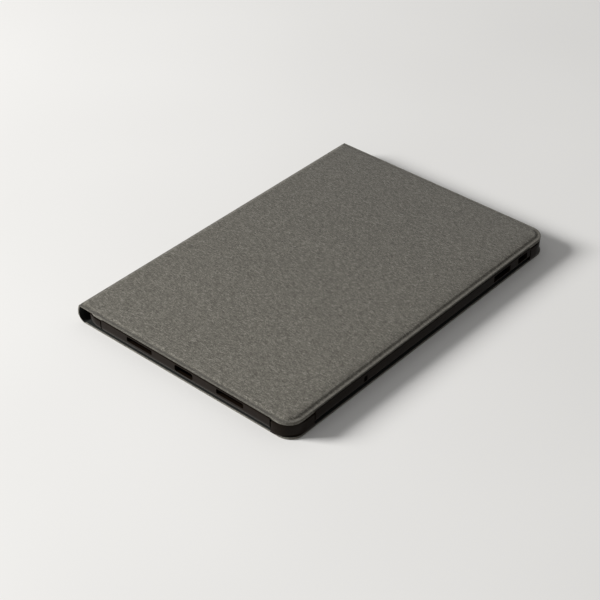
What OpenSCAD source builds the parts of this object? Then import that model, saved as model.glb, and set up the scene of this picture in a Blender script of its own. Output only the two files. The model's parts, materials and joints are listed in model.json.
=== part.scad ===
// Folio case for a tablet: a clip-in tray bonded inside a fabric book cover.
// The book cover is three bodies: a flat rear cover that carries the tray, a bowed spine
// and a front cover. It folds along the length of the case at both edges of the spine.
// X runs across the case from spine to free edge, Y along it, Z up from the table.
// The origin is the middle of the box round the closed case, on the table.

/* [Tablet] */
// Length of the tablet that the tray holds
tablet_l = 247.2; // [200:0.1:300]
// Width of the tablet
tablet_w = 162.4; // [130:0.1:200]
// Thickness of the tablet
tablet_t = 6.9; // [5:0.1:12]
// Gap between the tablet's edge and the tray's walls
tablet_gap = 0.3; // [0.1:0.05:0.8]
// Gap between the tablet's face and the top of the walls
tablet_sink = 0.1; // [0:0.05:0.5]

/* [Tray] */
// Thickness of the tray's walls
wall_t = 2.1; // [1.6:0.1:3]
// Thickness of the tray's floor
floor_t = 1.2; // [0.8:0.1:2]
// Radius of the tray's corners seen from above
corner_r = 14.4; // [11:0.1:20]
// Radius of the rounded edge under the tray
edge_r = 5; // [3.5:0.1:6.5]
// Thickness of the lip that hides the edge of the front cover
lip_t = 0.8; // [0.5:0.1:1.2]
// Height of the lip above the walls
lip_h = 1.3; // [0.6:0.1:1.9]
// Gap between the lip and the edge of the front cover
lip_gap = 0.2; // [0.1:0.05:0.5]
// How far the bead reaches over the tablet's edge
bead_w = 0.5; // [0.2:0.1:1]
// Height of the bead
bead_h = 1.2; // [0.6:0.1:2]
// Width of the relief slits beside the corners
slit_w = 0.9; // [0.5:0.1:1.5]
// Height of material left under each relief slit
slit_foot = 2.2; // [1.5:0.1:3.5]
// Distance of the short walls' slits at the free edge from the end of the rounded corner
slit_free = 0.6; // [0.5:0.1:10]
// Distance of the short walls' slits beside the spine from the end of the rounded corner
slit_spine = 3.6; // [0.5:0.1:10]
// Distance of the long walls' slits from the end of the rounded corner
slit_long = 6.2; // [0.5:0.1:10]

/* [Cut-outs in the short walls] */
// Length of the cut-out for the charging port
port_w = 14.3; // [10:0.1:20]
// Height of the cut-out for the charging port
port_h = 4.5; // [3:0.1:5]
// Place of the port along the short wall, from the middle of the tray
port_x = 2.5; // [-20:0.1:20]
// Radius of the port's lower corners
port_r = 1.5; // [0.5:0.1:2]
// Length of each speaker slot
speaker_w = 20.6; // [12:0.1:26]
// Height of each speaker slot
speaker_h = 3.4; // [2:0.1:4]
// Distance between the two speaker slots, middle to middle
speaker_pitch = 71.6; // [50:0.1:90]
// Thickness of the bar left above every cut-out, measured from the top of the lip
bar_h = 0.7; // [0.4:0.05:1]

/* [Cut-outs in the free-edge wall] */
// Length of the volume-key cut-out
volume_l = 17.7; // [12:0.1:26]
// Distance of the volume-key cut-out's middle from the tray's far end
volume_from_end = 51.7; // [46:0.1:75]
// Length of the power-key cut-out
power_l = 10; // [7:0.1:14]
// Distance of the power-key cut-out's middle from the tray's far end
power_from_end = 29.5; // [28:0.1:34]
// Height of both key cut-outs
key_h = 4.7; // [3:0.1:5]
// Corner radius of both key cut-outs
key_r = 0.8; // [0.4:0.1:1.4]
// Width of the microphone hole
mic_w = 3; // [2:0.1:4]
// Height of the microphone hole
mic_h = 4; // [2:0.1:5]
// Distance of the microphone hole from the tray's port end
mic_from_end = 65.1; // [36:0.1:160]
// Height of material above the microphone hole, below the top of the lip
mic_drop = 1.6; // [0.8:0.1:3]

/* [Camera window] */
// Length and width of the camera window in the tray
window_w = 18; // [12:0.5:26]
// Corner radius of the window
window_r = 5; // [2:0.5:6]
// Distance from the tray's free-edge face to the middle of the window
window_from_edge = 17; // [15:0.5:30]
// Distance from the tray's far short face to the middle of the window
window_from_end = 17; // [15:0.5:30]
// Extra width of the window in the covering under the tray, on each side
window_margin = 0.6; // [0.3:0.1:1.5]

/* [Book cover] */
// Thickness of the woven outer covering
skin_t = 0.4; // [0.3:0.05:0.7]
// Thickness of the dark inner lining
lining_t = 0.3; // [0.2:0.05:0.5]
// Thickness of the board in the rear cover
rear_board_t = 0.7; // [0.5:0.1:1.5]
// Thickness of the adhesive sheet under the tray
adhesive_t = 0.1; // [0.05:0.05:0.3]
// Margin from the edge of the tray's flat bottom to the adhesive sheet
adhesive_inset = 4; // [1:0.5:20]
// How far the rear cover's short edges lie inside the tray's outer faces
rear_inset_end = 1; // [0:0.1:3]
// How far the rear cover's free edge lies inside the tray's outer face
rear_inset_free = 0.3; // [0:0.1:3]
// Thickness of the board in the front cover
front_board_t = 1.3; // [0.8:0.1:2]
// Thickness of the padding under the raised panel
pad_t = 0.6; // [0.3:0.1:1.2]
// Width of the flat flange round the raised panel
flange_w = 2.2; // [1:0.1:5]
// Width of the slope from the flange up to the raised panel
ramp_w = 1.7; // [0.5:0.1:3]
// Width of the flat strip between the front fold and the slope
fold_flat = 0.6; // [0.3:0.1:2]
// Corner radius of the covers at the free edge
cover_r = 10.3; // [6:0.1:14]
// Width of the flexible strip of the front cover beside the spine
hinge_w = 12.6; // [8:0.1:16]
// Gap between the closed front cover and the tray's walls
cover_gap = 0.2; // [0.1:0.05:0.6]

/* [Spine] */
// Gap between the tray and the inside of the spine
spine_gap = 2.2; // [1.8:0.1:6]
// Thickness of the stiffener in the spine
stiffener_t = 0.3; // [0.2:0.05:0.6]
// Outer radius of the bend from the rear cover up into the spine
bend_r = 5.8; // [5:0.1:7]
// Outer radius of the spine's upper half
bow_r = 14; // [12:0.1:40]
// Gap between the top of the spine and the front cover's lining
fold_gap = 0.1; // [0.05:0.05:0.3]
// Angle of the bend, from straight down, at which the rear cover ends and the spine starts
split_angle = 45; // [30:1:60]

/* [Magnets] */
// Diameter of the wake magnet
wake_d = 8; // [5:0.5:12]
// Distance of the wake magnet from the free edge of the front cover
wake_from_edge = 14; // [9:0.5:25]
// Place of the wake magnet along the case
wake_y = 60; // [-90:1:90]
// Length of each closure magnet
closure_l = 20; // [10:1:30]
// Width of each closure magnet
closure_w = 5; // [3:0.5:6]
// Distance of the closure magnets from the free edge of the front cover
closure_from_edge = 7; // [5:0.5:9]
// Number of closure magnets
closure_n = 3; // [2:1:4]
// Distance between closure magnets
closure_pitch = 75; // [40:1:76]
// Gap round each magnet in its pocket
pocket_gap = 0.15; // [0.05:0.05:0.3]
// Thickness of board left under each magnet
pocket_floor = 0.3; // [0.2:0.05:0.5]

/* [Hidden] */
$fn = 96;

// Cutters reach this far past the faces that they cut
past = 1;
// Facets on circles inside a hull
hull_fn = 32;
// Thickness of the slices that a hull joins
slice = 0.01;

// Colours
woven = [0.44, 0.43, 0.39];
lining_colour = [0.10, 0.11, 0.10];
tray_colour = [0.11, 0.08, 0.06];
board_colour = [0.62, 0.60, 0.55];
magnet_colour = [0.72, 0.73, 0.75];
glue_colour = [0.80, 0.78, 0.70];
foam_colour = [0.25, 0.25, 0.25];

// The tray's outer size follows the tablet
tray_l = tablet_l + 2 * (tablet_gap + wall_t);
tray_w = tablet_w + 2 * (tablet_gap + wall_t);

// Across the case
spine_t = skin_t + stiffener_t + lining_t;
case_w = tray_w + spine_gap + spine_t;
x_free = case_w / 2;
x_tray = x_free - tray_w;
x_mid = (x_tray + x_free) / 2;
x_bow = -case_w / 2;
x_cover = x_free - lip_t - lip_gap;
x_rear = x_free - rear_inset_free;

// Along the case
half_tray = tray_l / 2;
half_cover = half_tray - lip_t - lip_gap;
half_rear = half_tray - rear_inset_end;

// Middles of the relief slits
x_slit_0 = x_tray + corner_r + slit_spine;
x_slit_1 = x_free - corner_r - slit_free;
y_slit = half_tray - corner_r - slit_long;

// Heights
z_rear_lining = skin_t + rear_board_t;
z_adhesive = z_rear_lining + lining_t;
z_tray = z_adhesive + adhesive_t;
z_floor = z_tray + floor_t;
z_wall = z_floor + tablet_t + tablet_sink;
z_lip = z_wall + lip_h;
z_cover = z_wall + cover_gap;
z_board = z_cover + lining_t;
z_under_skin = z_board + front_board_t;
z_flange = z_under_skin + skin_t;
z_slot = z_lip - bar_h;

// Spine: the lower bend and the wider bow above it share a tangent at the same height
x_bend = x_bow + bend_r;
z_bend = bend_r;
x_bow_centre = x_bow + bow_r;
x_fold = x_bow_centre - sqrt(pow(bow_r, 2) - pow(z_flange - z_bend, 2));
z_hinge = z_under_skin - lining_t;
z_spine_top = z_hinge - fold_gap;
x_board = x_fold + hinge_w;
// The lining drops from the flexible strip to the underside of the board over this width
lining_step = z_hinge - z_cover;

// The rounded bottom of the tray leaves this radius inside
inner_r = edge_r - wall_t;

// A flat outline from x0 to x1, square at x0 and rounded by r at x1
module page(x0, x1, half, r) {
    translate([x0, -half]) square([x1 - r - x0, 2 * half]);
    translate([x0, -half + r]) square([x1 - x0, 2 * (half - r)]);
    for (side = [-1, 1])
        translate([x1 - r, side * (half - r)]) circle(r);
}

// A flat outline rounded by r at all four corners
module rounded(x0, x1, y0, y1, r) {
    translate([x0 + r, y0]) square([x1 - x0 - 2 * r, y1 - y0]);
    translate([x0, y0 + r]) square([x1 - x0, y1 - y0 - 2 * r]);
    for (x = [x0 + r, x1 - r], y = [y0 + r, y1 - r])
        translate([x, y]) circle(r);
}

module slab(z, t) {
    translate([0, 0, z]) linear_extrude(t) children();
}

// Sweeps an X-Z outline along Y, centred on the case
module along_case(half) {
    translate([0, half, 0]) rotate([90, 0, 0]) linear_extrude(2 * half) children();
}

// The wedge of the lower bend from angle a to angle b, measured from straight down
module bend_wedge(a, b) {
    reach = 2 * bend_r;
    translate([x_bend, z_bend])
        polygon([[0, 0], [-reach * sin(a), -reach * cos(a)],
                 [-reach * sin((a + b) / 2), -reach * cos((a + b) / 2)] * 1.2,
                 [-reach * sin(b), -reach * cos(b)]]);
}

// A ply of the lower bend between two depths under its outer face
module bend_ply(d0, d1, a, b) {
    intersection() {
        difference() {
            translate([x_bend, z_bend]) circle(bend_r - d0);
            translate([x_bend, z_bend]) circle(bend_r - d1);
        }
        bend_wedge(a, b);
    }
}

// A ply of the spine between two depths under its outer face
module spine_ply(d0, d1) {
    bend_ply(d0, d1, split_angle, 90);
    intersection() {
        difference() {
            translate([x_bow_centre, z_bend]) circle(bow_r - d0);
            translate([x_bow_centre, z_bend]) circle(bow_r - d1);
        }
        translate([x_bow, z_bend]) square([bend_r, z_spine_top - z_bend]);
    }
}

// The camera window's outline, widened by extra on each side
module window(extra) {
    half = window_w / 2 + extra;
    x = x_free - window_from_edge;
    y = half_tray - window_from_end;
    rounded(x - half, x + half, y - half, y + half, window_r + extra);
}

// ---- rear cover -------------------------------------------------------------

module rear_skin() {
    color(woven) {
        difference() {
            slab(0, z_adhesive) page(x_bend, x_rear, half_rear, cover_r);
            slab(skin_t, z_adhesive) page(x_bend - past, x_rear - skin_t, half_rear - skin_t,
                                          cover_r - skin_t);
            slab(-past, z_adhesive + 2 * past) window(window_margin);
        }
        along_case(half_cover) bend_ply(0, skin_t, 0, split_angle);
    }
}

module rear_board() {
    color(board_colour)
        difference() {
            slab(skin_t, rear_board_t) page(x_bend + rear_board_t, x_rear - skin_t,
                                            half_rear - skin_t, cover_r - skin_t);
            slab(0, z_adhesive) window(window_margin);
        }
}

module rear_lining() {
    color(lining_colour) {
        difference() {
            union() {
                slab(z_rear_lining, lining_t) page(x_bend + rear_board_t, x_rear - skin_t,
                                                   half_rear - skin_t, cover_r - skin_t);
                along_case(half_rear - skin_t)
                    polygon([[x_bend, skin_t], [x_bend + rear_board_t, skin_t],
                             [x_bend + rear_board_t, z_adhesive],
                             [x_bend, skin_t + lining_t]]);
            }
            slab(0, z_adhesive + past) window(window_margin);
        }
        along_case(half_cover) bend_ply(skin_t, skin_t + lining_t, 0, split_angle);
    }
}

module tray_adhesive() {
    inset = edge_r + adhesive_inset;
    color(glue_colour)
        difference() {
            slab(z_adhesive, adhesive_t)
                rounded(x_tray + inset, x_free - inset, -half_tray + inset, half_tray - inset,
                        corner_r - edge_r);
            slab(0, z_tray + past) window(window_margin);
        }
}

// ---- tray -------------------------------------------------------------------

// Section of a wall, with its outer face at edge_r and the floor's edge at 0
module wall_section(round_bottom) {
    difference() {
        union() {
            if (round_bottom)
                intersection() {
                    translate([0, z_tray + edge_r]) circle(edge_r);
                    translate([0, z_tray]) square(edge_r);
                }
            else
                translate([0, z_tray]) square(edge_r);
            translate([0, z_tray + edge_r]) square([edge_r, z_wall - z_tray - edge_r]);
        }
        translate([0, z_floor + inner_r]) circle(inner_r);
        translate([0, z_floor + inner_r]) square([inner_r, z_wall]);
    }
    polygon([[inner_r, z_wall], [inner_r - bead_w, z_wall], [inner_r, z_wall - bead_h]]);
}

// The lip on top of a straight wall
module lip_section() {
    translate([edge_r - lip_t, z_wall - lip_t]) square([lip_t, z_lip - z_wall + lip_t]);
}

// Sweeps a section along a short wall, from x0 to x1
module short_wall(side, x0, x1) {
    mirror([0, side < 0 ? 1 : 0, 0])
        translate([x0, half_tray - edge_r, 0])
            rotate([90, 0, 90]) linear_extrude(x1 - x0) children();
}

// Sweeps a section along a long wall, from y0 to y1
module long_wall(side, y0, y1) {
    centre = side > 0 ? x_free - edge_r : x_tray + edge_r;
    translate([centre, y1, 0])
        mirror([side < 0 ? 1 : 0, 0, 0])
            rotate([90, 0, 0]) linear_extrude(y1 - y0) children();
}

// The corner of the tray nearest to the given sides
module tray_corner(side_x, side_y, round_bottom) {
    centre = side_x > 0 ? x_free - corner_r : x_tray + corner_r;
    translate([centre, side_y * (half_tray - corner_r), 0])
        mirror([side_x < 0 ? 1 : 0, 0, 0])
            mirror([0, side_y < 0 ? 1 : 0, 0])
                rotate_extrude(angle = 90)
                    translate([corner_r - edge_r, 0]) wall_section(round_bottom);
}

// A cut through a short wall
module short_cut(side, x, w, h, r) {
    y = side > 0 ? half_tray - edge_r : -half_tray - past;
    translate([0, y + edge_r + past, 0])
        rotate([90, 0, 0]) linear_extrude(edge_r + past)
            rounded(x - w / 2, x + w / 2, z_slot - h, z_slot, r);
}

// A cut through the free-edge wall
module edge_cut(y, l, z_top, h, r) {
    translate([x_free - edge_r, 0, 0])
        rotate([90, 0, 90]) linear_extrude(edge_r + past)
            rounded(y - l / 2, y + l / 2, z_top - h, z_top, r);
}

module tray_cuts() {
    for (side = [-1, 1], k = [-1, 1])
        short_cut(side, x_mid + port_x + k * speaker_pitch / 2, speaker_w, speaker_h, key_r);
    short_cut(-1, x_mid + port_x, port_w, port_h, port_r);
    edge_cut(half_tray - volume_from_end, volume_l, z_slot, key_h, key_r);
    edge_cut(half_tray - power_from_end, power_l, z_slot, key_h, key_r);
    edge_cut(mic_from_end - half_tray, mic_w, z_lip - mic_drop, mic_h, key_r);
    slab(0, z_floor + past) window(0);
    // Relief slits on both sides of every corner
    slit_h = z_lip - z_tray;
    for (x = [x_slit_0, x_slit_1], y = [-half_tray, half_tray - edge_r])
        translate([x - slit_w / 2, y - past, z_tray + slit_foot])
            cube([slit_w, edge_r + 2 * past, slit_h]);
    for (x = [x_tray, x_free - edge_r], y = [-1, 1])
        translate([x - past, y * y_slit - slit_w / 2, z_tray + slit_foot])
            cube([edge_r + 2 * past, slit_w, slit_h]);
}

// The tray is one moulding, kept as nine nodes that meet face to face
module tray_part() {
    color(tray_colour)
        difference() {
            children();
            tray_cuts();
        }
}

module tray_floor() {
    tray_part()
        slab(z_tray, floor_t)
            rounded(x_tray + edge_r, x_free - edge_r, -half_tray + edge_r, half_tray - edge_r,
                    corner_r - edge_r);
}

module tray_end_wall(side) {
    tray_part()
        short_wall(side, x_slit_0, x_slit_1) {
            wall_section(true);
            lip_section();
        }
}

module tray_port_wall() {
    tray_end_wall(-1);
}

module tray_far_wall() {
    tray_end_wall(1);
}

module tray_key_wall() {
    tray_part()
        long_wall(1, -y_slit, y_slit) {
            wall_section(true);
            lip_section();
        }
}

module tray_spine_wall() {
    tray_part() long_wall(-1, -y_slit, y_slit) wall_section(true);
}

// A corner bumper at the free edge has an upright face, and one by the spine a rounded foot
module tray_bumper(side_x, side_y) {
    foot = side_x < 0;
    x0 = side_x < 0 ? x_tray + corner_r : x_slit_1;
    x1 = side_x < 0 ? x_slit_0 : x_free - corner_r;
    y0 = side_y < 0 ? -half_tray + corner_r : y_slit;
    y1 = side_y < 0 ? -y_slit : half_tray - corner_r;
    tray_part() {
        tray_corner(side_x, side_y, foot);
        short_wall(side_y, x0, x1) wall_section(foot);
        long_wall(side_x, y0, y1) wall_section(foot);
    }
}

module tray_bumper_port_free() {
    tray_bumper(1, -1);
}

module tray_bumper_far_free() {
    tray_bumper(1, 1);
}

module tray_bumper_port_spine() {
    tray_bumper(-1, -1);
}

module tray_bumper_far_spine() {
    tray_bumper(-1, 1);
}

// ---- spine ------------------------------------------------------------------

module spine_skin() {
    color(woven) {
        along_case(half_cover) spine_ply(0, skin_t);
        // The covering turns in over both ends
        for (side = [-1, 1])
            translate([0, side * (half_cover - skin_t / 2), 0])
                along_case(skin_t / 2) spine_ply(skin_t, spine_t);
    }
}

module spine_stiffener() {
    color(board_colour)
        along_case(half_cover - skin_t) spine_ply(skin_t, skin_t + stiffener_t);
}

module spine_lining() {
    color(lining_colour)
        along_case(half_cover - skin_t) spine_ply(skin_t + stiffener_t, spine_t);
}

// ---- front cover ------------------------------------------------------------

// The raised panel: a low mound with sloped sides whose foot lies at height z
module mound(z) {
    half = half_cover - flange_w;
    r = cover_r;
    x0 = x_fold + fold_flat;
    x1 = x_cover - flange_w;
    hull() {
        slab(z, slice) page(x0, x1, half, r, $fn = hull_fn);
        slab(z + pad_t - slice, slice)
            page(x0 + ramp_w, x1 - ramp_w, half - ramp_w, r - ramp_w, $fn = hull_fn);
    }
}

// Pockets for the magnets, or the magnets themselves where gap is 0
module wake_pocket(gap) {
    translate([x_cover - wake_from_edge, wake_y, z_board + pocket_floor])
        cylinder(d = wake_d + 2 * gap, h = front_board_t - pocket_floor);
}

module closure_pockets(gap) {
    for (k = [0 : closure_n - 1])
        translate([x_cover - closure_from_edge - closure_w / 2 - gap,
                   (k - (closure_n - 1) / 2) * closure_pitch - closure_l / 2 - gap,
                   z_board + pocket_floor])
            cube([closure_w + 2 * gap, closure_l + 2 * gap, front_board_t - pocket_floor]);
}

module front_skin() {
    color(woven)
        difference() {
            union() {
                slab(z_cover, z_flange - z_cover) page(x_fold, x_cover, half_cover, cover_r);
                mound(z_flange);
            }
            // Room for the board and lining
            slab(z_cover - past, z_under_skin - z_cover + past)
                page(x_fold - past, x_cover - skin_t, half_cover - skin_t, cover_r - skin_t);
            mound(z_under_skin);
            // The flexible strip has no board, so its edges are thin
            along_case(half_cover + past)
                polygon([[x_fold - past, z_cover - past], [x_board, z_cover - past],
                         [x_board, z_cover], [x_board - lining_step, z_hinge],
                         [x_fold - past, z_hinge]]);
        }
}

module front_padding() {
    color(foam_colour) mound(z_under_skin);
}

module front_board() {
    color(board_colour)
        difference() {
            slab(z_board, front_board_t)
                page(x_board + skin_t, x_cover - skin_t, half_cover - skin_t, cover_r - skin_t);
            wake_pocket(pocket_gap);
            closure_pockets(pocket_gap);
        }
}

module front_lining() {
    inner = half_cover - skin_t;
    color(lining_colour) {
        slab(z_cover, lining_t) page(x_board + skin_t, x_cover - skin_t, inner, cover_r - skin_t);
        along_case(inner)
            polygon([[x_fold, z_hinge], [x_board - lining_step, z_hinge],
                     [x_board, z_cover], [x_board + skin_t, z_cover],
                     [x_board + skin_t, z_under_skin], [x_fold, z_under_skin]]);
    }
}

module wake_magnet() {
    color(magnet_colour) wake_pocket(0);
}

module closure_magnets() {
    color(magnet_colour) closure_pockets(0);
}

rear_skin();
rear_board();
rear_lining();
tray_adhesive();
tray_floor();
tray_port_wall();
tray_far_wall();
tray_key_wall();
tray_spine_wall();
tray_bumper_port_free();
tray_bumper_far_free();
tray_bumper_port_spine();
tray_bumper_far_spine();
spine_skin();
spine_stiffener();
spine_lining();
front_skin();
front_padding();
front_board();
front_lining();
wake_magnet();
closure_magnets();
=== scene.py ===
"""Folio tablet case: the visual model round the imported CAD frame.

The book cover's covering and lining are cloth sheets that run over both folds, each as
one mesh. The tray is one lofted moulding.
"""

import json
import math

import bmesh
import bpy
from mathutils import Matrix, Vector


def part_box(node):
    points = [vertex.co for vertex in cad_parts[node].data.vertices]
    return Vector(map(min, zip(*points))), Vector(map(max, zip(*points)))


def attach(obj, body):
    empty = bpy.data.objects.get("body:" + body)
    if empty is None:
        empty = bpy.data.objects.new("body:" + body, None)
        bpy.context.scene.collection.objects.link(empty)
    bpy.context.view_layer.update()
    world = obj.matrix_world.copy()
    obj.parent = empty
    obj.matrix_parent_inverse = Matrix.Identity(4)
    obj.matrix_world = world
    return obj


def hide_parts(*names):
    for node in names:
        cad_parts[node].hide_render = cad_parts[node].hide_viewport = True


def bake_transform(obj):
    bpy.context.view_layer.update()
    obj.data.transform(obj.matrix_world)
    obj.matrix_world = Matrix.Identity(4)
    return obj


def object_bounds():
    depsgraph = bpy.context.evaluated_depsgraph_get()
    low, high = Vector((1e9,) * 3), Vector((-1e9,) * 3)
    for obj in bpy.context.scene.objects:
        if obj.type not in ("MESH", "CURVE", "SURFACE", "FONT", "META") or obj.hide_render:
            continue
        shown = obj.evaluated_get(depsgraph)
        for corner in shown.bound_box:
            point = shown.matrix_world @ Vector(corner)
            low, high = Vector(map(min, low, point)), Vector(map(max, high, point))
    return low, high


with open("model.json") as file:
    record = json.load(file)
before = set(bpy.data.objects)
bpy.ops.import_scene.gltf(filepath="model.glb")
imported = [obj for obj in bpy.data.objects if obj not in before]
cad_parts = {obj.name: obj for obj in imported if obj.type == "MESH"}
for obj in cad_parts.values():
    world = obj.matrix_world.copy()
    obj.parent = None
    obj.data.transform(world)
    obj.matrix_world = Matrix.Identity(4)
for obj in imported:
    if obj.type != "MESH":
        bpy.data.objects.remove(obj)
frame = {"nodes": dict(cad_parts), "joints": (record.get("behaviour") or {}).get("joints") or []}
CAD_LOW, CAD_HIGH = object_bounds()

MM = 0.001

# ---- sizes read from the frame ---------------------------------------------------------


def span(node, axis):
    """(lowest, highest) of a CAD node along an axis."""
    low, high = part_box(node)
    return low[axis], high[axis]


def hinge_of(name):
    """(x, z) of a fold's axis."""
    joint = next(j for j in frame["joints"] if j["name"] == name)
    return joint["pos_m"][0], joint["pos_m"][2]


X, Y, Z = range(3)
X_BOW = CAD_LOW[X]
X_FREE = span("tray_key_wall", X)[1]
HALF_TRAY = span("tray_far_wall", Y)[1]
X_COVER = span("front_skin", X)[1]
HALF_COVER = span("front_skin", Y)[1]
X_REAR = span("rear_board", X)[1] + span("rear_board", Z)[0]
HALF_REAR = span("rear_board", Y)[1] + span("rear_board", Z)[0]
X_BOARD = span("front_board", X)[0]
Z_COVER, Z_PANEL = span("front_skin", Z)
Z_BOARD, Z_UNDER_SKIN = span("front_board", Z)
Z_TRAY, Z_FLOOR = span("tray_floor", Z)
Z_WALL = span("tray_spine_wall", Z)[1]
Z_LIP = span("tray_key_wall", Z)[1]
X_TRAY = span("tray_spine_wall", X)[0]
X_FOLD, Z_FLANGE = hinge_of("front_fold")

SKIN_T = span("rear_board", Z)[0]
LINING_T = Z_BOARD - Z_COVER
PAD_T = Z_PANEL - Z_FLANGE
REAR_TOP = Z_TRAY - span("tray_adhesive", Z)[1] + span("tray_adhesive", Z)[0]
SPINE_T = 1.0 * MM
HINGE_T = Z_FLANGE - Z_UNDER_SKIN + LINING_T

# ---- sizes of the sheets and the moulding -----------------------------------------------

COVER_R = 10.3 * MM
FLANGE_W = 2.2 * MM
RAMP_W = 1.7 * MM
GROOVE = 0.26 * MM
FOLD_FLAT = 0.6 * MM
BEND_R = 5.8 * MM
BOW_R = 14.0 * MM
# The spine's sheets are joined here, measured round the lower bend from straight down
SEAM_ANGLE = math.radians(70)
CLOTH_T = 0.32 * MM

TRAY_R = 14.4 * MM
EDGE_R = 5.0 * MM
WALL_T = 2.1 * MM
LIP_T = 0.8 * MM
BEAD_W = 0.5 * MM
BEAD_H = 1.2 * MM
SLIT_W = 0.9 * MM
SLIT_FOOT = 2.2 * MM
X_SLITS = X_TRAY + TRAY_R + 3.6 * MM, X_FREE - TRAY_R - 0.6 * MM
Y_SLIT = HALF_TRAY - TRAY_R - 6.2 * MM
# How far the wall's edges are rounded: at its foot, at its outer top, and inside
SOFT_FOOT = 0.35 * MM
SOFT_TOP = 0.3 * MM
SOFT_INSIDE = 0.15 * MM

# The tray's openings: widths along the wall, heights, and places of their middles
X_PORT = (X_TRAY + X_FREE) / 2 + 2.5 * MM
Z_OPENING_TOP = Z_LIP - 0.7 * MM
PORT_W, PORT_H, PORT_R = 14.3 * MM, 4.5 * MM, 1.5 * MM
SPEAKER_W, SPEAKER_H, SPEAKER_OUT = 20.6 * MM, 3.4 * MM, 35.8 * MM
KEY_H = 4.7 * MM
VOLUME_Y, VOLUME_W = 74.3 * MM, 17.7 * MM
POWER_Y, POWER_W = 96.5 * MM, 10.0 * MM
MIC_Y, MIC_W, MIC_H, MIC_DROP = -60.9 * MM, 3.0 * MM, 4.0 * MM, 3.6 * MM
OPENING_R = 0.8 * MM
SLIT_R = 0.2 * MM
PAST = 1.0 * MM

# The camera window, with the distance from the tray's two outer faces to its middle
WINDOW_W = 18.0 * MM
WINDOW_R = 5.0 * MM
WINDOW_IN = 17.0 * MM
WINDOW_MARGIN = 0.6 * MM

MERGE = 0.002 * MM
WEAVE_PITCH = 0.46 * MM
DOT_PITCH = 0.8 * MM

FLOOR_REACH = 3.0
FLOOR_DROP = 0.1 * MM
LENS = 94.08
CAMERA_AT = Vector((0.501647, -0.609674, 0.576601))
CAMERA_RIGHT = Vector((0.75759, 0.65267, 0.00913))
CAMERA_AHEAD = Vector((-0.51874, 0.61050, -0.59850))
KEY_AT = -2.07, -1.8, 1.22
KEY_SIZE, KEY_POWER = 0.9, 153.0
WORLD_LEVEL = 0.30


# ---- shader building --------------------------------------------------------------------


class Socket:
    """A shader socket that can be used in Python expressions."""

    def __init__(self, build, socket):
        self.build = build
        self.socket = socket

    def _math(self, operation, a, b=0.0, use_clamp=False):
        settings = {"operation": operation, "use_clamp": use_clamp}
        return self.build.node("ShaderNodeMath", settings, {0: a, 1: b})

    def __add__(self, other):
        return self._math("ADD", self, other)

    def __radd__(self, other):
        return self._math("ADD", other, self)

    def __sub__(self, other):
        return self._math("SUBTRACT", self, other)

    def __rsub__(self, other):
        return self._math("SUBTRACT", other, self)

    def __mul__(self, other):
        return self._math("MULTIPLY", self, other)

    def __rmul__(self, other):
        return self._math("MULTIPLY", other, self)

    def __truediv__(self, other):
        return self._math("DIVIDE", self, other)

    def __rtruediv__(self, other):
        return self._math("DIVIDE", other, self)

    def floor(self):
        return self._math("FLOOR", self)

    def wrap(self, period):
        return self._math("FLOORED_MODULO", self, period)

    def clamp(self):
        return self._math("ADD", self, 0.0, use_clamp=True)


class Material:
    def __init__(self, name):
        self.material = bpy.data.materials.new(name)
        self.material.use_nodes = True
        self.tree = self.material.node_tree
        self.tree.nodes.clear()
        self.output = self.tree.nodes.new("ShaderNodeOutputMaterial")

    def node(self, kind, settings=None, inputs=None, output=0):
        """Adds a node and returns one output, or a list of them where output is a list."""
        made = self.tree.nodes.new(kind)
        for key, value in (settings or {}).items():
            if key == "stops":
                self._stops(made.color_ramp, value)
            else:
                setattr(made, key, value)
        for key, value in (inputs or {}).items():
            if isinstance(value, Socket):
                self.tree.links.new(value.socket, made.inputs[key])
            elif isinstance(value, tuple) and len(value) == 3:
                made.inputs[key].default_value = (*value, 1.0)
            else:
                made.inputs[key].default_value = value
        if isinstance(output, list):
            return [Socket(self, made.outputs[k]) for k in output]
        return Socket(self, made.outputs[output])

    @staticmethod
    def _stops(ramp, stops):
        while len(ramp.elements) < len(stops):
            ramp.elements.new(1.0)
        for element, (place, colour) in zip(ramp.elements, stops):
            element.position = place
            element.color = (*colour, 1.0)

    def coords(self):
        return self.node("ShaderNodeTexCoord", output="Object")

    def cloth_axes(self):
        """Distance along and across the flat cloth, in metres."""
        flat = self.node("ShaderNodeUVMap", {"uv_map": "cloth"})
        return self.node("ShaderNodeSeparateXYZ", inputs={0: flat}, output=[0, 1])

    def vector(self, x, y, z):
        return self.node("ShaderNodeCombineXYZ", inputs={0: x, 1: y, 2: z})

    def noise(self, vector, scale=1.0, detail=2.0, roughness=0.5):
        values = {"Vector": vector, "Scale": scale, "Detail": detail, "Roughness": roughness}
        return self.node("ShaderNodeTexNoise", {"noise_dimensions": "3D"}, values)

    def ramp(self, factor, *stops):
        return self.node("ShaderNodeValToRGB", {"stops": stops}, {0: factor})

    def mix(self, factor, a, b, blend="MIX"):
        settings = {"data_type": "RGBA", "blend_type": blend}
        return self.node("ShaderNodeMix", settings, {0: factor, 6: a, 7: b}, output=2)

    def bump(self, height, distance, strength=1.0):
        values = {"Height": height, "Distance": distance, "Strength": strength}
        return self.node("ShaderNodeBump", inputs=values)

    def finish(self, constants, links):
        """Wires a Principled shader: constants stay plain values, links vary over the surface."""
        shader = self.node("ShaderNodeBsdfPrincipled", inputs={**constants, **links})
        self.tree.links.new(shader.socket, self.output.inputs["Surface"])
        return self.material


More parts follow.
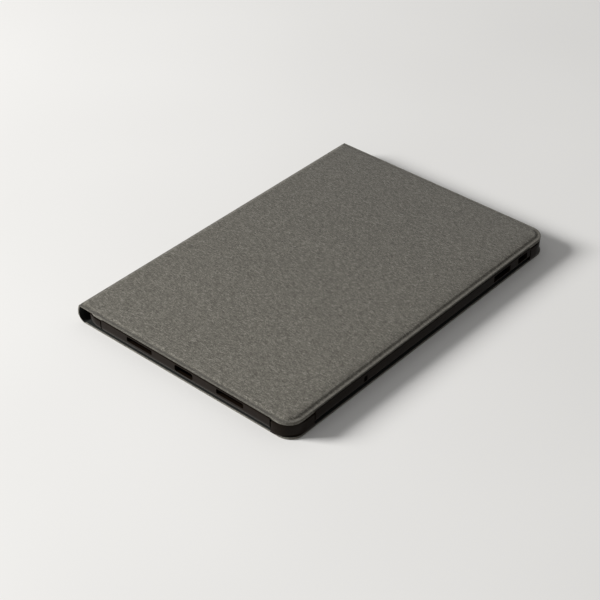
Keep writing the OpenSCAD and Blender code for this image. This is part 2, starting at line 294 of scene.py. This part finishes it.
def woven_material():
    """Grey melange canvas: a plain weave whose yarns change shade along their length."""
    m = Material("woven_melange")
    along, across = m.cloth_axes()
    i = (along / WEAVE_PITCH).floor()
    j = (across / WEAVE_PITCH).floor()
    over = (i + j).wrap(2.0)
    under = 1.0 - over

    # Each yarn changes shade along its own length, the ones across the case more slowly
    warp = m.noise(m.vector(i * 1.7, across * 800.0, i * 0.31), detail=2.0, roughness=0.6)
    weft = m.noise(m.vector(along * 420.0, j * 1.7, j * 0.31 + 9.0), detail=2.0, roughness=0.6)
    slub = m.noise(m.vector(along * 260.0, across * 2300.0, 2.0), detail=1.0)
    fibre = m.noise(m.vector(along * 2600.0, across * 2600.0, 5.0), detail=2.0)
    shade = (warp * over + weft * under) * 0.6 + slub * 0.2 + fibre * 0.2
    yarn = m.ramp(
        shade,
        (0.38, (0.048, 0.043, 0.034)),
        (0.47, (0.098, 0.091, 0.074)),
        (0.53, (0.145, 0.135, 0.112)),
        (0.62, (0.270, 0.256, 0.220)),
    )
    # Each crossing is a small pillow, longer along the yarn that lies on top
    u = (along / WEAVE_PITCH).wrap(1.0) - 0.5
    v = (across / WEAVE_PITCH).wrap(1.0) - 0.5
    uu = u * u
    vv = v * v
    pillow = 1.0 - (uu + vv) * 1.3 - (uu * over + vv * under) * 1.2
    # Painted shade: the hollows between the yarns are darkened towards a near-black grey
    painted_gap_shade = (0.62 - pillow).clamp() * 0.9
    colour = m.mix(painted_gap_shade, yarn, (0.045, 0.042, 0.035))
    pressed = m.node("ShaderNodeAttribute", {"attribute_name": "pressed"}, output="Fac")
    colour = m.mix(pressed * 0.4, colour, (0.060, 0.056, 0.047))
    return m.finish(
        {"Specular IOR Level": 0.25, "Sheen Weight": 0.1, "Sheen Roughness": 0.5},
        {
            "Base Color": colour,
            "Roughness": warp * 0.2 + 0.72,
            "Normal": m.bump(pillow + warp * 0.25, 0.00012, 0.8),
        },
    )


def lining_material():
    """Dark microfibre with a fine pressed dot pattern."""
    m = Material("dark_microfibre")
    along, across = m.cloth_axes()
    u = (along / DOT_PITCH).wrap(1.0) - 0.5
    v = (across / DOT_PITCH).wrap(1.0) - 0.5
    dot = (1.0 - (u * u + v * v) * 7.0).clamp()
    nap = m.noise(m.vector(along, across, 0.0), 900.0, 3.0, 0.6)
    colour = m.ramp(
        dot * 0.35 + nap * 0.65,
        (0.2, (0.006, 0.007, 0.006)),
        (0.8, (0.022, 0.025, 0.022)),
    )
    return m.finish(
        {"Specular IOR Level": 0.15, "Sheen Weight": 0.05, "Sheen Roughness": 0.5},
        {
            "Base Color": colour,
            "Roughness": nap * 0.2 + 0.78,
            "Normal": m.bump(nap * 0.5 - dot * 0.5, 0.00008, 0.7),
        },
    )


def tray_material():
    """Glossy brown-black moulded plastic with faint flow marks."""
    m = Material("moulded_plastic")
    where = m.coords()
    flow = m.noise(where, 35.0, 3.0, 0.55)
    grain = m.noise(where, 2600.0, 2.0, 0.5)
    colour = m.ramp(flow, (0.3, (0.0060, 0.0038, 0.0024)), (0.7, (0.0105, 0.0068, 0.0043)))
    return m.finish(
        {"Specular IOR Level": 0.07},
        {
            "Base Color": colour,
            "Roughness": flow * 0.12 + 0.24,
            "Normal": m.bump(grain * 0.2 + flow, 0.00003, 0.3),
        },
    )


def board_material():
    """Pressed grey fibreboard."""
    m = Material("pressed_board")
    fibre = m.noise(m.coords(), 700.0, 4.0, 0.65)
    colour = m.ramp(fibre, (0.3, (0.26, 0.24, 0.20)), (0.7, (0.42, 0.39, 0.33)))
    return m.finish(
        {"Specular IOR Level": 0.3},
        {
            "Base Color": colour,
            "Roughness": fibre * 0.15 + 0.8,
            "Normal": m.bump(fibre, 0.00005, 0.5),
        },
    )


def glue_material():
    """Milky double-sided film."""
    m = Material("adhesive_film")
    haze = m.noise(m.coords(), 120.0, 3.0, 0.6)
    colour = m.ramp(haze, (0.3, (0.55, 0.52, 0.44)), (0.7, (0.68, 0.65, 0.56)))
    return m.finish(
        {"Specular IOR Level": 0.4},
        {
            "Base Color": colour,
            "Roughness": haze * 0.2 + 0.3,
            "Normal": m.bump(haze, 0.00003, 0.3),
        },
    )


def magnet_material():
    """Nickel plate with fine tumbling marks."""
    m = Material("nickel_plate")
    marks = m.noise(m.coords(), 1500.0, 3.0, 0.6)
    colour = m.ramp(marks, (0.3, (0.54, 0.52, 0.48)), (0.7, (0.68, 0.66, 0.62)))
    return m.finish(
        {"Metallic": 1.0},
        {
            "Base Color": colour,
            "Roughness": marks * 0.2 + 0.2,
            "Normal": m.bump(marks, 0.00002, 0.3),
        },
    )


WOVEN = woven_material()
LINING = lining_material()
PLASTIC = tray_material()
BOARD = board_material()
GLUE = glue_material()
NICKEL = magnet_material()


# ---- mesh helpers -----------------------------------------------------------------------


def smoothstep(t):
    t = min(max(t, 0.0), 1.0)
    return t * t * (3.0 - 2.0 * t)


def spread(a, b, count):
    """count + 1 values from a to b."""
    return [a + (b - a) * k / count for k in range(count + 1)]


def new_object(name, vertices, faces, material):
    mesh = bpy.data.meshes.new(name)
    mesh.from_pydata(vertices, [], faces)
    mesh.update()
    obj = bpy.data.objects.new(name, mesh)
    bpy.context.scene.collection.objects.link(obj)
    mesh.materials.append(material)
    return obj


def tidy_mesh(obj):
    """Merges doubles, drops flat faces and points every face outwards."""
    bm = bmesh.new()
    bm.from_mesh(obj.data)
    bmesh.ops.remove_doubles(bm, verts=bm.verts, dist=MERGE)
    bmesh.ops.dissolve_degenerate(bm, edges=bm.edges, dist=MERGE)
    bmesh.ops.recalc_face_normals(bm, faces=bm.faces)
    bm.to_mesh(obj.data)
    bm.free()
    obj.data.update()


def plain(obj):
    """Replaces obj's mesh by what its modifiers make of it."""
    graph = bpy.context.evaluated_depsgraph_get()
    made = bpy.data.meshes.new_from_object(obj.evaluated_get(graph))
    old = obj.data
    obj.modifiers.clear()
    obj.data = made
    bpy.data.meshes.remove(old)
    return obj


def shade(obj, angle=40.0):
    """Smooth shading with the sharp edges kept."""
    mesh = obj.data
    for polygon in mesh.polygons:
        polygon.use_smooth = True
    mesh.set_sharp_from_angle(angle=math.radians(angle))


# ---- cloth sheets of the book cover ------------------------------------------------------


def bend_point(angle, depth=0.0):
    """A point of the lower bend, depth under its outer face."""
    r = BEND_R - depth
    return X_BOW + BEND_R - r * math.sin(angle), BEND_R - r * math.cos(angle)


def bow_point(z, depth=0.0):
    """A point of the spine's upper bow, depth under its outer face at height z."""
    up = (z - BEND_R) / BOW_R
    r = BOW_R - depth
    return X_BOW + BOW_R - r * math.sqrt(1.0 - up * up), BEND_R + r * up


def unroll(edge, full):
    """How far each point of an edge profile lies outside the outline once the cloth is flat."""
    points = [(inset, full if depth < 0 else depth) for inset, depth in edge]
    reach = [-points[-1][0]]
    for (a, b), (c, d) in zip(points[-2::-1], points[:0:-1]):
        reach.append(reach[-1] + math.hypot(a - c, b - d))
    return reach[::-1]


def cloth(name, section, half, radius, edge, lift, material, away=1.0):
    """A sheet that follows an X-Z section, turns over at its edges and keeps its flat layout.

    section: stations (x, z, inner x, inner z) from the spine's seam to the free corners.
    edge: (inset, depth) pairs from the hem inwards, where depth -1 is the whole thickness.
    lift: height to add at an inset and x. away: which way the layout runs from the seam.
    """
    full = math.dist(section[-1][:2], section[-1][2:])
    reach = unroll(edge, full)
    run = [0.0]
    for a, b in zip(section, section[1:]):
        run.append(run[-1] + math.dist(a[:2], b[:2]))
    arc = [math.radians(a) for a in spread(0.0, 90.0, 18)][1:]
    x1, z1, _, inner_z1 = section[-1]
    vertices = []
    layout = []

    for (inset, depth), out in zip(edge, reach):
        for side in (-1.0, 1.0):
            for (x, z, ix, iz), along in zip(section, run):
                thick = math.dist((x, z), (ix, iz))
                t = 1.0 if depth < 0 else min(depth / thick, 1.0)
                height = z + (iz - z) * t + lift(inset, x)
                vertices.append((x + (ix - x) * t, side * (half - inset), height))
                layout.append((away * along, side * (half + out)))
            for angle in arc:
                t = 1.0 if depth < 0 else min(depth / full, 1.0)
                s, c = math.sin(angle), math.cos(angle)
                r = radius - inset
                height = z1 + (inner_z1 - z1) * t + lift(inset, x1)
                vertices.append((x1 + r * s, side * (half - radius + r * c), height))
                r = radius + out
                layout.append((away * (run[-1] + r * s), side * (half - radius + r * c)))

    faces = []
    stations = len(section) + len(arc)
    ring = 2 * stations
    last = stations - 1
    for k in range(len(edge) - 1):
        for i in range(stations - 1):
            a, b = k * ring + i, (k + 1) * ring + i
            faces.append((a, a + 1, b + 1, b))
            a, b = a + stations, b + stations
            faces.append((a + 1, a, b, b + 1))
        a, b = k * ring + last, (k + 1) * ring + last
        faces.append((a, a + stations, b + stations, b))
    top = (len(edge) - 1) * ring
    for i in range(top, top + last):
        faces.append((i, i + 1, stations + i + 1, stations + i))
    obj = new_object(name, vertices, faces, material)
    flat = obj.data.uv_layers.new(name="cloth")
    for loop in obj.data.loops:
        flat.data[loop.index].uv = layout[loop.vertex_index]
    return obj


def thicken(obj, outward_z):
    """Gives a sheet its thickness under its face, whose widest part looks along outward_z."""
    bm = bmesh.new()
    bm.from_mesh(obj.data)
    bmesh.ops.remove_doubles(bm, verts=bm.verts, dist=MERGE)
    bmesh.ops.recalc_face_normals(bm, faces=bm.faces)
    widest = max(bm.faces, key=lambda f: f.calc_area())
    if widest.normal.z * outward_z < 0:
        bmesh.ops.reverse_faces(bm, faces=bm.faces)
    bm.to_mesh(obj.data)
    bm.free()
    solid = obj.modifiers.new("thickness", "SOLIDIFY")
    solid.thickness = CLOTH_T
    solid.offset = -1.0
    solid.use_even_offset = False
    plain(obj)
    shade(obj, 50.0)
    return obj


def no_lift(inset, x):
    return 0.0


def panel_lift(inset, x):
    """Height of the padded panel, with the pressed groove that runs round its foot."""
    from_edge = (inset - FLANGE_W) / RAMP_W
    from_fold = (x - X_FOLD - FOLD_FLAT) / RAMP_W
    t = min(from_edge, from_fold)
    groove = GROOVE * smoothstep(min(inset / FLANGE_W, 1.0 - t))
    rise = 0.7 * min(max(t, 0.0), 1.0) + 0.3 * smoothstep(t)
    return PAD_T * rise - (groove if from_edge < from_fold else 0.0)


FRONT_ROLL = [(0.10, -1), (0.0, 1.7), (0.0, 0.30), (0.04, 0.15), (0.12, 0.06), (0.28, 0.0)]
REAR_ROLL = [(0.05, -1), (0.0, 1.25), (0.0, 0.6), (0.10, 0.3), (0.30, 0.1), (0.60, 0.0)]


def edge_profile(rolled, inner):
    """The turned edge in millimetres, then the insets that follow it over the face."""
    points = rolled + [(a, 0.0) for a in inner]
    return [(a * MM, b * MM if b > 0 else b) for a, b in points]


def spine_stations(depth, inner_depth, top):
    """Stations up the spine from the seam, depth under its outer face, to the height top."""
    made = []
    for angle in spread(SEAM_ANGLE, math.pi / 2, 5)[:-1]:
        made.append((*bend_point(angle, depth), *bend_point(angle, inner_depth)))
    for z in spread(BEND_R, top, 9):
        made.append((*bow_point(z, depth), *bow_point(z, inner_depth)))
    return made


def front_covering():
    section = spine_stations(0.0, SPINE_T, Z_FLANGE - 0.25 * MM)
    corner = X_FOLD + 0.95 * MM, Z_FLANGE - HINGE_T
    section.append((X_FOLD + 0.03 * MM, Z_FLANGE - 0.07 * MM, *corner))
    for k in (0.15, 0.4, 0.7):
        section.append((X_FOLD + k * MM, Z_FLANGE, *corner))
    deep = Z_FLANGE - Z_COVER
    slope = X_BOARD - SKIN_T - (deep - HINGE_T)
    for x in spread(X_FOLD + 0.95 * MM, X_FOLD + 2.6 * MM, 6) + spread(X_FOLD + 4 * MM, slope, 3):
        section.append((x, Z_FLANGE, x, Z_FLANGE - HINGE_T))
    for x in spread(X_BOARD - SKIN_T, X_COVER - COVER_R, 8):
        section.append((x, Z_FLANGE, x, Z_COVER))
    over_edge = [0.8 * MM, 1.4 * MM] + spread(FLANGE_W, FLANGE_W + RAMP_W, 8)
    edge = edge_profile(FRONT_ROLL, [a / MM for a in over_edge])
    obj = cloth("front_covering", section, HALF_COVER, COVER_R, edge, panel_lift, WOVEN)
    thicken(obj, 1.0)
    mark_pressed(obj)
    return obj


def mark_pressed(obj):
    """Marks the flange, where the cloth was pressed flat round the padding."""
    pressed = obj.data.attributes.new("pressed", "FLOAT", "POINT")
    for vertex in obj.data.vertices:
        x, y, z = vertex.co
        inset = min(HALF_COVER - abs(y), X_COVER - x)
        corner = math.hypot(max(x - X_COVER + COVER_R, 0), max(abs(y) - HALF_COVER + COVER_R, 0))
        if x > X_COVER - COVER_R and abs(y) > HALF_COVER - COVER_R:
            inset = COVER_R - corner
        on_top = smoothstep((z - Z_FLANGE + 0.6 * MM) / (0.3 * MM))
        pressed.data[vertex.index].value = on_top * smoothstep((FLANGE_W - inset) / MM + 0.5)


def front_lining():
    under = Z_FLANGE - HINGE_T
    section = spine_stations(SPINE_T, SPINE_T - LINING_T, Z_FLANGE - 1.5 * MM)
    corner_x = section[-1][0] + 0.45 * MM
    for k, drop in ((0.28, 0.42), (0.12, 0.12), (-0.2, 0.0)):
        x, z = corner_x - k * MM, under - drop * MM
        section.append((x, z, x - 0.2 * MM, z + 0.2 * MM))
    deep = Z_FLANGE - Z_COVER
    slope = X_BOARD - SKIN_T - (deep - HINGE_T)
    for x in spread(corner_x + 0.6 * MM, slope, 8):
        section.append((x, under, x, under + LINING_T))
    for x in spread(X_BOARD - SKIN_T, X_COVER - COVER_R, 4):
        section.append((x, Z_COVER, x, Z_COVER + LINING_T))
    edge = [(0.0, 0.12 * MM), (0.08 * MM, 0.0), (2.0 * MM, 0.0)]
    half, radius = HALF_COVER - SKIN_T, COVER_R - SKIN_T
    obj = cloth("front_lining_cloth", section, half, radius, edge, no_lift, LINING)
    return thicken(obj, -1.0)


def rear_bend(depth_share, step):
    """Stations of the lower bend from the seam down, at a share of the sheets' thickness.

    The thickness goes from the spine's to that of covering and lining alone.
    """
    made = []
    for angle in spread(SEAM_ANGLE, 0.0, 16):
        full = HINGE_T + (SPINE_T - HINGE_T) * angle / SEAM_ANGLE
        outer = bend_point(angle, full * depth_share)
        made.append((*outer, *bend_point(angle, full * depth_share + step * full)))
    return made


def rear_covering():
    section = rear_bend(0.0, 1.0)
    for x in spread(X_BOW + BEND_R + 0.7 * MM, X_REAR - COVER_R, 8):
        section.append((x, 0.0, x, REAR_TOP))
    edge = edge_profile(REAR_ROLL, [1.5, 3.0])
    obj = cloth("rear_covering", section, HALF_REAR, COVER_R, edge, no_lift, WOVEN, -1.0)
    return thicken(obj, -1.0)


def rear_lining():
    section = rear_bend(1.0, -0.3)
    start = X_BOW + BEND_R
    for k in spread(0.2, 1.0, 5):
        x = start + k * 0.9 * MM
        z = HINGE_T + (REAR_TOP - HINGE_T) * smoothstep(k)
        section.append((x, z, x, z - LINING_T))
    for x in spread(start + 3.0 * MM, X_REAR - COVER_R, 4):
        section.append((x, REAR_TOP, x, REAR_TOP - LINING_T))
    edge = [(0.0, 0.12 * MM), (0.08 * MM, 0.0), (2.0 * MM, 0.0)]
    half, radius = HALF_REAR - SKIN_T, COVER_R - SKIN_T
    obj = cloth("rear_lining_cloth", section, half, radius, edge, no_lift, LINING, -1.0)
    return thicken(obj, 1.0)


def declare(obj):
    """Measures the size of a glued-down sheet's flat layout; nothing is done with it."""
    flat = [loop.uv for loop in obj.data.uv_layers["cloth"].data]
    size = [max(p[k] for p in flat) - min(p[k] for p in flat) for k in range(2)]


# ---- tray ---------------------------------------------------------------------------------


def wall_profile(round_foot, lip):
    """The wall's section as (out, z) points from the floor's underside round to its top.

    out runs from the floor's edge to the outer face.
    """
    points = []
    steps = 8
    if round_foot:
        for a in spread(0.0, math.pi / 2, steps):
            points.append((EDGE_R * math.sin(a), Z_TRAY + EDGE_R * (1 - math.cos(a))))
    else:
        for x in spread(0.0, EDGE_R - SOFT_FOOT, steps // 2):
            points.append((x, Z_TRAY))
        for a in spread(0.0, math.pi / 2, 2)[1:]:
            out = EDGE_R - SOFT_FOOT + SOFT_FOOT * math.sin(a)
            points.append((out, Z_TRAY + SOFT_FOOT * (1 - math.cos(a))))
        points.append((EDGE_R, Z_TRAY + EDGE_R / 2))
        points.append((EDGE_R, Z_TRAY + EDGE_R))
    top = Z_LIP if lip else Z_WALL
    points.append((EDGE_R, top - SOFT_TOP))
    points.append((EDGE_R - 0.3 * SOFT_TOP, top - 0.3 * SOFT_TOP))
    points.append((EDGE_R - SOFT_TOP, top))
    inner = EDGE_R - LIP_T
    points.append((inner + SOFT_INSIDE, top))
    points.append((inner, top - SOFT_INSIDE if lip else top))
    points.append((inner, Z_WALL))
    bay = EDGE_R - WALL_T
    points.append((bay - BEAD_W + SOFT_INSIDE, Z_WALL))
    points.append((bay - BEAD_W, Z_WALL - SOFT_INSIDE))
    points.append((bay, Z_WALL - BEAD_H))
    for a in spread(math.pi / 2, 0.0, 7):
        points.append((bay * math.sin(a), Z_FLOOR + bay * (1 - math.cos(a))))
    return points


def tray_stations():
    """(x, y, out_x, out_y, round_foot, lip) once round the tray, from the port-free corner."""
    x0, x1 = X_TRAY, X_FREE
    inner = TRAY_R - EDGE_R
    slit_x0, slit_x1 = X_SLITS
    made = []

    def corner(sx, sy, foot):
        cx = x1 - TRAY_R if sx > 0 else x0 + TRAY_R
        cy = sy * (HALF_TRAY - TRAY_R)
        turn = {(1, -1): -90, (1, 1): 0, (-1, 1): 90, (-1, -1): 180}[(sx, sy)]
        for a in spread(turn, turn + 90, 20):
            c, s = math.cos(math.radians(a)), math.sin(math.radians(a))
            made.append((cx + inner * c, cy + inner * s, c, s, foot, False))

    def wall(points, out, foot, lip):
        for x, y in points:
            made.append((x, y, *out, foot, lip))

    corner(1, -1, False)
    edge_x, edge_y = x1 - EDGE_R, HALF_TRAY - EDGE_R
    wall([(edge_x, -Y_SLIT)], (1, 0), False, False)
    wall([(edge_x, -Y_SLIT), (edge_x, Y_SLIT)], (1, 0), True, True)
    wall([(edge_x, Y_SLIT)], (1, 0), False, False)
    corner(1, 1, False)
    wall([(slit_x1, edge_y)], (0, 1), False, False)
    wall([(slit_x1, edge_y), (slit_x0, edge_y)], (0, 1), True, True)
    wall([(slit_x0, edge_y)], (0, 1), True, False)
    corner(-1, 1, True)
    corner(-1, -1, True)
    wall([(slit_x0, -edge_y)], (0, -1), True, False)
    wall([(slit_x0, -edge_y), (slit_x1, -edge_y)], (0, -1), True, True)
    wall([(slit_x1, -edge_y)], (0, -1), False, False)
    return made


def tray_body():
    stations = tray_stations()
    kinds = (True, True), (True, False), (False, False)
    profiles = {kind: wall_profile(*kind) for kind in kinds}
    count = len(profiles[(True, True)])
    vertices, faces = [], []
    for x, y, ox, oy, foot, lip in stations:
        for out, z in profiles[(foot, lip)]:
            vertices.append((x + ox * out, y + oy * out, z))
    total = len(stations)
    for s in range(total):
        a, b = s * count, ((s + 1) % total) * count
        for k in range(count - 1):
            faces.append((a + k, b + k, b + k + 1, a + k + 1))
    faces.append([s * count for s in range(total)][::-1])
    faces.append([s * count + count - 1 for s in range(total)])
    obj = new_object("tray_moulding", vertices, faces, PLASTIC)
    tidy_mesh(obj)
    return obj


def rounded_cutter_tree():
    """Geometry Nodes: Count rounded blocks in a row, Pitch apart, lying along X."""
    tree = bpy.data.node_groups.new("rounded_cutters", "GeometryNodeTree")
    face = tree.interface
    face.new_socket("Geometry", in_out="INPUT", socket_type="NodeSocketGeometry")
    sizes = {}
    for name in ("Length", "Height", "Depth", "Radius", "Pitch"):
        sizes[name] = face.new_socket(name, in_out="INPUT", socket_type="NodeSocketFloat")
    sizes["Count"] = face.new_socket("Count", in_out="INPUT", socket_type="NodeSocketInt")
    face.new_socket("Geometry", in_out="OUTPUT", socket_type="NodeSocketGeometry")
    add, link = tree.nodes.new, tree.links.new
    given, result = add("NodeGroupInput"), add("NodeGroupOutput")

    outline = add("GeometryNodeCurvePrimitiveQuadrilateral")
    link(given.outputs["Length"], outline.inputs["Width"])
    link(given.outputs["Height"], outline.inputs["Height"])
    fillet = add("GeometryNodeFilletCurve")
    fillet.mode = "POLY"
    fillet.inputs["Count"].default_value = 6
    fillet.inputs["Limit Radius"].default_value = True
    link(outline.outputs[0], fillet.inputs["Curve"])
    link(given.outputs["Radius"], fillet.inputs["Radius"])
    fill = add("GeometryNodeFillCurve")
    fill.mode = "NGONS"
    link(fillet.outputs[0], fill.inputs[0])
    solid = add("GeometryNodeExtrudeMesh")
    link(fill.outputs[0], solid.inputs["Mesh"])
    link(given.outputs["Depth"], solid.inputs["Offset Scale"])
    flip = add("GeometryNodeFlipFaces")
    link(fill.outputs[0], flip.inputs[0])
    both = add("GeometryNodeJoinGeometry")
    link(solid.outputs[0], both.inputs[0])
    link(flip.outputs[0], both.inputs[0])
    weld = add("GeometryNodeMergeByDistance")
    weld.inputs["Distance"].default_value = 0.000001
    link(both.outputs[0], weld.inputs[0])

    row = add("GeometryNodeMeshLine")
    link(given.outputs["Count"], row.inputs["Count"])
    step = add("ShaderNodeCombineXYZ")
    link(given.outputs["Pitch"], step.inputs[0])
    link(step.outputs[0], row.inputs["Offset"])
    place = add("GeometryNodeInstanceOnPoints")
    link(row.outputs[0], place.inputs["Points"])
    link(weld.outputs[0], place.inputs["Instance"])
    real = add("GeometryNodeRealizeInstances")
    link(place.outputs[0], real.inputs[0])
    paint = add("GeometryNodeSetMaterial")
    paint.inputs["Material"].default_value = PLASTIC
    link(real.outputs[0], paint.inputs[0])
    link(paint.outputs[0], result.inputs[0])
    return tree, {name: socket.identifier for name, socket in sizes.items()}


CUTTERS, CUTTER_INPUTS = rounded_cutter_tree()


def cutters(first, along, up, length, height, depth, radius, count=1, pitch=0.0):
    """A row of rounded blocks from the middle of the first one's face, cutting along x up."""
    obj = new_object("cutters", [(0, 0, 0)], [], PLASTIC)
    rule = obj.modifiers.new("rule", "NODES")
    rule.node_group = CUTTERS
    given = {
        "Length": length,
        "Height": height,
        "Depth": depth,
        "Radius": radius,
        "Pitch": pitch,
        "Count": count,
    }
    for name, value in given.items():
        rule[CUTTER_INPUTS[name]] = value
    plain(obj)
    a, u = Vector(along), Vector(up)
    turn = Matrix((a, u, a.cross(u))).transposed().to_4x4()
    turn.translation = Vector(first)
    obj.data.transform(turn)
    tidy_mesh(obj)
    return obj


def cut(obj, tools):
    """Cuts the tools out of obj, one at a time, and deletes them."""
    for tool in tools:
        difference = obj.modifiers.new("cut", "BOOLEAN")
        difference.operation = "DIFFERENCE"
        difference.solver = "EXACT"
        difference.object = tool
        plain(obj)
        bpy.data.objects.remove(tool)
    return obj


def window_cutter(margin, z0, z1):
    """The camera window's outline, widened by margin on each side, from z0 up to z1."""
    size = WINDOW_W + 2 * margin
    middle = X_FREE - WINDOW_IN, HALF_TRAY - WINDOW_IN, z0
    return cutters(middle, (1, 0, 0), (0, 1, 0), size, size, z1 - z0, WINDOW_R + margin)


def open_window(obj):
    """Cuts the camera window through a sheet of the rear cover."""
    cut(obj, [window_cutter(WINDOW_MARGIN, -PAST, Z_TRAY)])
    shade(obj, 50.0)


def tray():
    obj = tray_body()
    reach = EDGE_R + 2 * PAST
    long_x, back_x = (1, 0, 0), (-1, 0, 0)
    long_y, back_y = (0, 1, 0), (0, -1, 0)
    up = (0, 0, 1)
    tools = []

    # along x up points into the case
    for side, along in ((-1, back_x), (1, long_x)):
        first = (
            X_PORT - side * SPEAKER_OUT,
            side * (HALF_TRAY + PAST),
            Z_OPENING_TOP - SPEAKER_H / 2,
        )
        size = SPEAKER_W, SPEAKER_H, reach, OPENING_R
        tools.append(cutters(first, along, up, *size, 2, 2 * SPEAKER_OUT))
    first = X_PORT, -HALF_TRAY - PAST, Z_OPENING_TOP - PORT_H / 2
    tools.append(cutters(first, back_x, up, PORT_W, PORT_H, reach, PORT_R))
    for y, width in ((VOLUME_Y, VOLUME_W), (POWER_Y, POWER_W)):
        first = X_FREE + PAST, y, Z_OPENING_TOP - KEY_H / 2
        tools.append(cutters(first, back_y, up, width, KEY_H, reach, OPENING_R))
    first = X_FREE + PAST, MIC_Y, Z_LIP - MIC_DROP
    tools.append(cutters(first, back_y, up, MIC_W, MIC_H, reach, OPENING_R))
    tools.append(window_cutter(0.0, Z_TRAY - PAST, Z_FLOOR + PAST))

    slit_h = Z_LIP - Z_TRAY
    slit_z = Z_TRAY + SLIT_FOOT + slit_h / 2
    size = SLIT_W, slit_h, reach, SLIT_R
    x0, x1 = X_SLITS
    for x, side, along in ((x1, -1, back_x), (x0, 1, long_x)):
        first = x, side * (HALF_TRAY + PAST), slit_z
        tools.append(cutters(first, along, up, *size, 2, x1 - x0))
    for x, y, along in ((X_FREE + PAST, Y_SLIT, back_y), (X_TRAY - PAST, -Y_SLIT, long_y)):
        tools.append(cutters((x, y, slit_z), along, up, *size, 2, 2 * Y_SLIT))
    cut(obj, tools)
    shade(obj, 35.0)
    return obj


# ---- the pieces, with the tray on its body -------------------------------------------------


def across_fold(obj):
    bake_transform(obj)


def across_bend(obj):
    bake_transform(obj)


covering = front_covering()
across_fold(covering)
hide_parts("front_skin", "front_padding", "spine_skin")
declare(covering)

inner_cloth = front_lining()
across_fold(inner_cloth)
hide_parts("front_lining", "spine_lining")
declare(inner_cloth)

under_cover = rear_covering()
open_window(under_cover)
across_bend(under_cover)
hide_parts("rear_skin")
declare(under_cover)

rear_cloth = rear_lining()
open_window(rear_cloth)
across_bend(rear_cloth)
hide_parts("rear_lining")
declare(rear_cloth)

moulding = tray()
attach(moulding, "rear_case")
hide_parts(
    "tray_floor", "tray_port_wall", "tray_far_wall", "tray_key_wall", "tray_spine_wall",
    "tray_bumper_port_free", "tray_bumper_far_free",
    "tray_bumper_port_spine", "tray_bumper_far_spine",
)

for node, material in (
    ("rear_board", BOARD),
    ("spine_stiffener", BOARD),
    ("front_board", BOARD),
    ("tray_adhesive", GLUE),
    ("wake_magnet", NICKEL),
    ("closure_magnets", NICKEL),
):
    obj = frame["nodes"][node]
    obj.data.materials.clear()
    obj.data.materials.append(material)


# ---- floor, lamps and camera -----------------------------------------------------------------


def floor_material():
    m = Material("pale_floor")
    haze = m.noise(m.coords(), 3.0, 2.0, 0.5)
    colour = m.ramp(haze, (0.3, (0.78, 0.77, 0.75)), (0.7, (0.82, 0.81, 0.79)))
    return m.finish(
        {"Specular IOR Level": 0.2},
        {"Base Color": colour, "Roughness": haze * 0.1 + 0.6},
    )


def floor():
    turns = (-1, -1), (1, -1), (1, 1), (-1, 1)
    corners = [(x * FLOOR_REACH, y * FLOOR_REACH, -FLOOR_DROP) for x, y in turns]
    obj = new_object("floor", corners, [(0, 1, 2, 3)], floor_material())


def lamp(name, place, target, size, power):
    data = bpy.data.lights.new(name, "AREA")
    data.shape = "SQUARE"
    data.size = size
    data.energy = power
    obj = bpy.data.objects.new(name, data)
    obj.location = place
    obj.rotation_euler = (Vector(target) - Vector(place)).to_track_quat("-Z", "Y").to_euler()
    bpy.context.scene.collection.objects.link(obj)


def world_light(strength):
    world = bpy.data.worlds.new("studio")
    world.use_nodes = True
    background = world.node_tree.nodes["Background"]
    background.inputs[0].default_value = (1.0, 1.0, 1.0, 1.0)
    background.inputs[1].default_value = strength
    bpy.context.scene.world = world


def camera():
    data = bpy.data.cameras.new("camera")
    data.lens = LENS
    data.sensor_width = 36.0
    obj = bpy.data.objects.new("camera", data)
    ahead = CAMERA_AHEAD.normalized()
    right = (CAMERA_RIGHT - ahead * CAMERA_RIGHT.dot(ahead)).normalized()
    turn = Matrix((right, right.cross(ahead), -ahead)).transposed().to_4x4()
    turn.translation = CAMERA_AT
    obj.matrix_world = turn
    bpy.context.scene.collection.objects.link(obj)
    bpy.context.scene.camera = obj


floor()
lamp("key", KEY_AT, (0, 0, 0), KEY_SIZE, KEY_POWER)
world_light(WORLD_LEVEL)
camera()
bpy.context.scene.view_settings.view_transform = "Standard"
